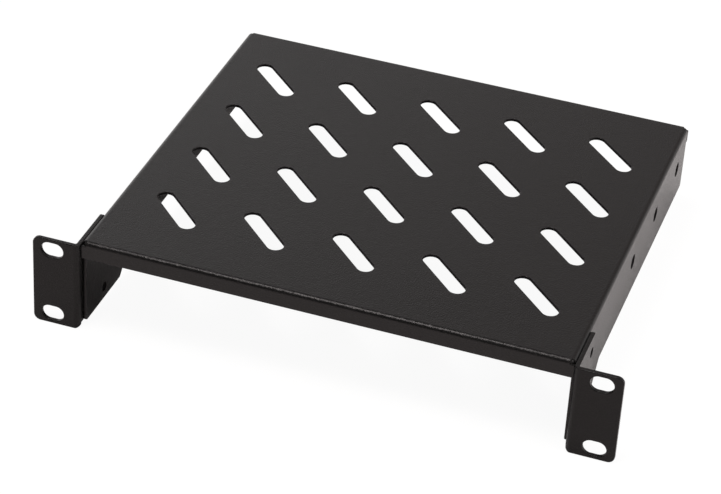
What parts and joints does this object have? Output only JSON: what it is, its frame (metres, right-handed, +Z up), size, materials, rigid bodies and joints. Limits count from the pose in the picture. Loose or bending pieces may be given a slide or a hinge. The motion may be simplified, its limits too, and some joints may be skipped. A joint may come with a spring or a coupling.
{
  "type": "cantilever rack shelf",
  "caption": "Shallow folded-sheet rack shelf with slanted deck slots, side flanges deeper at the front, and a welded slotted ear bracket on each side.",
  "frame": {"origin": "middle of the four ear slots, on the front face of the ears", "axes": "+X to the right seen from the front, +Y to the rear of the rack, +Z up"},
  "size_m": [0.254, 0.1973, 0.0432],
  "materials": {
    "tray_coat": "fine satin powder coat",
    "bracket_coat": "fine satin powder coat"
  },
  "bodies": {
    "root": {"shelf_tray": "tray_coat", "left_ear_bracket": "bracket_coat", "right_ear_bracket": "bracket_coat"}
  },
  "joints": []
}
